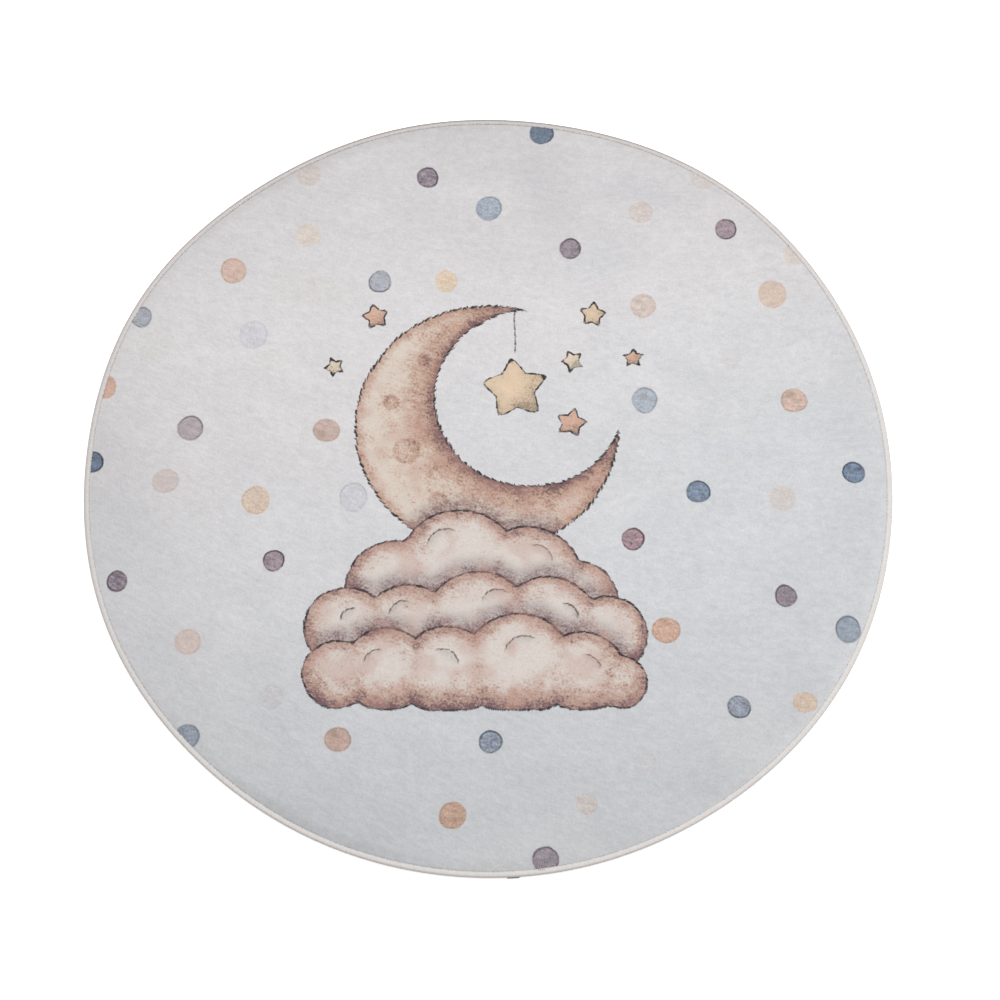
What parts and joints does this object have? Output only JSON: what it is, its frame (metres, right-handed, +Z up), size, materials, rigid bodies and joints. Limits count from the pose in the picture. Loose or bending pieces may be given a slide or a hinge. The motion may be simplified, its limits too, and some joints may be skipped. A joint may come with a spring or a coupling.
{
  "type": "round kids rug",
  "caption": "Round short-pile rug for a child's room: a flat disc of printed cloth with an overlocked yarn binding round its edge.",
  "frame": {"origin": "on the floor, under the middle of the rug", "axes": "+Z up through the cloth, +Y to the top of the print, +X to the print's right as seen from above"},
  "size_m": [1.1954, 1.1988, 0.008],
  "materials": {
    "printed_pile": "short matt pile, pale blue-grey watercolour wash with coloured dots and a drawn picture in the middle",
    "binding_yarn": "cream overlocked yarn, closely wrapped, soft sheen"
  },
  "bodies": {
    "root": {"pile_cloth": "printed_pile", "edge_binding": "binding_yarn"}
  },
  "joints": []
}
